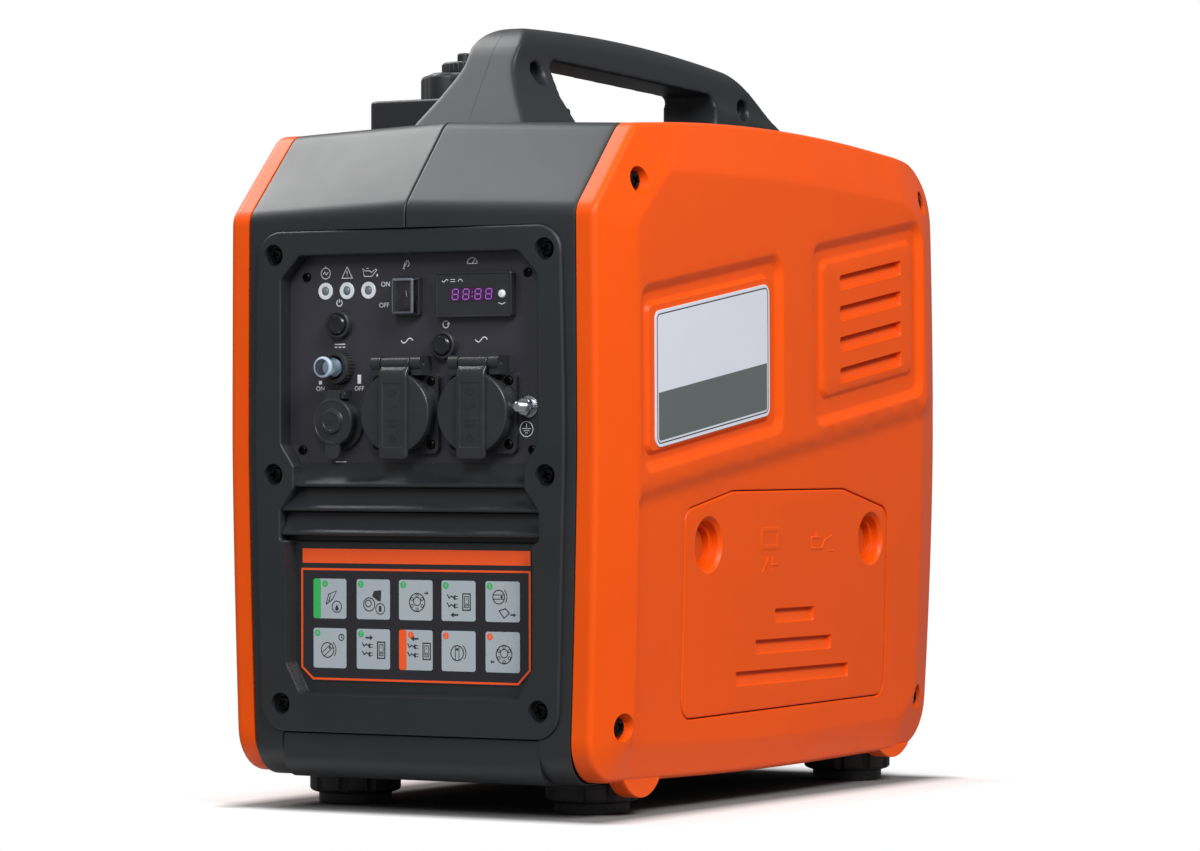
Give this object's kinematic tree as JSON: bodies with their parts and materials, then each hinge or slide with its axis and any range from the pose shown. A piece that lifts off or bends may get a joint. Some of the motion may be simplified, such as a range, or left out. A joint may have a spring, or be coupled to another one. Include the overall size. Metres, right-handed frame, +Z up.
{
  "type": "portable inverter generator",
  "caption": "Suitcase-style portable generator: dished side covers, bowed carry handle, recessed panel with lidded sockets, meter and breaker, fuel cap, rubber feet.",
  "frame": {"origin": "on the ground plane under the centre of the overall bounding box", "axes": "+X to the right as seen from the control panel, +Y to the rear, +Z up"},
  "size_m": [0.284, 0.4798, 0.494],
  "materials": {
    "orange_plastic": "fine moulded grain",
    "black_plastic": "fine moulded grain",
    "panel_plastic": "smooth, slightly satin",
    "trim_plastic": "satin",
    "label_film": "smooth printed film",
    "sticker_film": "smooth printed film",
    "clear_plastic": "clear",
    "display_window": "tinted, clear",
    "lamp_plastic": "smooth",
    "rubber": "matte",
    "black_steel": "black oxide",
    "zinc_steel": "zinc plated",
    "brass": "plain",
    "tank_plastic": "plain moulded",
    "cast_aluminium": "as cast",
    "steel": "machined",
    "copper": "varnished copper windings",
    "muffler_steel": "heat-dulled"
  },
  "bodies": {
    "housing": {"right_cover": "orange_plastic", "left_cover": "orange_plastic", "right_shell": "black_plastic", "left_shell": "black_plastic", "front_bezel": "black_plastic", "intake_louvre": "black_plastic", "rear_panel": "black_plastic", "base_tray": "black_plastic", "feet": "rubber", "foot_screws": "zinc_steel", "side_label": "label_film", "cover_screws": "black_steel", "end_screws": "black_steel", "handle_screws": "black_steel", "control_panel": "panel_plastic", "panel_screws": "black_steel", "instruction_plate": "sticker_film", "button_collars": "trim_plastic", "breaker_ring": "trim_plastic", "switch_frame": "trim_plastic", "switch_boot": "clear_plastic", "meter_body": "trim_plastic", "meter_window": "display_window", "indicator_lamps": "lamp_plastic", "ac_sockets": "trim_plastic", "lid_hinge_pins": "zinc_steel", "earth_clips": "brass", "dc_socket": "trim_plastic", "earth_stud": "zinc_steel", "earth_fittings": "zinc_steel", "fuel_tank": "tank_plastic", "engine_block": "cast_aluminium", "cylinder_head": "cast_aluminium", "stator": "copper", "fan_shroud": "black_plastic", "muffler": "muffler_steel", "air_cleaner": "black_plastic", "carburettor": "cast_aluminium", "inverter_module": "cast_aluminium", "battery": "black_plastic", "engine_mounts": "rubber"},
    "ac_lid_left_body": {"ac_lid_left": "trim_plastic"},
    "ac_lid_right_body": {"ac_lid_right": "trim_plastic"},
    "dc_lid_body": {"dc_lid": "trim_plastic"},
    "start_button_body": {"start_button": "trim_plastic"},
    "reset_button_body": {"reset_button": "trim_plastic"},
    "breaker_body": {"breaker_boot": "clear_plastic", "breaker_button": "trim_plastic"},
    "meter_button_body": {"meter_button": "lamp_plastic"},
    "rocker_body": {"switch_rocker": "trim_plastic"},
    "fuel_cap_body": {"fuel_cap": "trim_plastic"},
    "vent_knob_body": {"vent_knob": "trim_plastic"},
    "service_cover_body": {"service_cover": "orange_plastic"},
    "front_latch_body": {"service_latch_front": "orange_plastic"},
    "rear_latch_body": {"service_latch_rear": "orange_plastic"},
    "dial_body": {"engine_dial": "trim_plastic"},
    "recoil_grip_body": {"recoil_grip": "trim_plastic"},
    "crank_body": {"crankshaft": "steel", "rotor": "steel", "cooling_fan": "black_plastic"}
  },
  "joints": [
    {"name": "ac_lid_left_hinge", "type": "hinge", "parent": "housing", "child": "ac_lid_left_body", "pos_m": [-0.00665, -0.229, 0.2777], "axis": [-1, 0, 0], "range_deg": [0, 110], "stiffness_Nm_per_rad": 0.008, "springref_deg": -22.92},
    {"name": "ac_lid_right_hinge", "type": "hinge", "parent": "housing", "child": "ac_lid_right_body", "pos_m": [0.04965, -0.229, 0.2777], "axis": [-1, 0, 0], "range_deg": [0, 110], "stiffness_Nm_per_rad": 0.008, "springref_deg": -22.92},
    {"name": "dc_lid_hinge", "type": "hinge", "parent": "housing", "child": "dc_lid_body", "pos_m": [-0.0555, -0.2265, 0.2595], "axis": [-1, 0, 0], "range_deg": [0, 75], "stiffness_Nm_per_rad": 0.003, "springref_deg": -22.92},
    {"name": "start_press", "type": "slide", "parent": "housing", "child": "start_button_body", "axis": [0, 1, 0], "range_m": [0, 0.0025], "stiffness_N_per_m": 400},
    {"name": "reset_press", "type": "slide", "parent": "housing", "child": "reset_button_body", "axis": [0, 1, 0], "range_m": [0, 0.0025], "stiffness_N_per_m": 400},
    {"name": "breaker_press", "type": "slide", "parent": "housing", "child": "breaker_body", "axis": [0, 1, 0], "range_m": [0, 0.003], "stiffness_N_per_m": 500},
    {"name": "meter_press", "type": "slide", "parent": "housing", "child": "meter_button_body", "axis": [0, 1, 0], "range_m": [0, 0.001], "stiffness_N_per_m": 300},
    {"name": "switch_rock", "type": "hinge", "parent": "housing", "child": "rocker_body", "pos_m": [-0.0044, -0.217, 0.3192], "axis": [1, 0, 0], "range_deg": [0, 20]},
    {"name": "fuel_cap_lift", "type": "slide", "parent": "housing", "child": "fuel_cap_body", "axis": [0, 0, 1], "range_m": [0, 0.045]},
    {"name": "vent_knob_turn", "type": "hinge", "parent": "fuel_cap_body", "child": "vent_knob_body", "pos_m": [-0.062, -0.051, 0.47], "axis": [0, 0, 1], "range_deg": [0, 90]},
    {"name": "service_cover_off", "type": "slide", "parent": "housing", "child": "service_cover_body", "axis": [1, 0, 0], "range_m": [0, 0.06]},
    {"name": "front_latch_turn", "type": "hinge", "parent": "service_cover_body", "child": "front_latch_body", "pos_m": [0.121, -0.0947, 0.1649], "axis": [1, 0, 0], "range_deg": [0, 90]},
    {"name": "rear_latch_turn", "type": "hinge", "parent": "service_cover_body", "child": "rear_latch_body", "pos_m": [0.121, 0.125, 0.1649], "axis": [1, 0, 0], "range_deg": [0, 90]},
    {"name": "dial_turn", "type": "hinge", "parent": "housing", "child": "dial_body", "pos_m": [-0.13, -0.142, 0.262], "axis": [-1, 0, 0], "range_deg": [0, 90]},
    {"name": "recoil_pull", "type": "slide", "parent": "housing", "child": "recoil_grip_body", "axis": [-1, 0, 0], "range_m": [0, 0.5], "stiffness_N_per_m": 30, "springref_m": -0.1},
    {"name": "crank_spin", "type": "hinge", "parent": "housing", "child": "crank_body", "pos_m": [0, 0.07, 0.125], "axis": [1, 0, 0], "continuous": true}
  ]
}
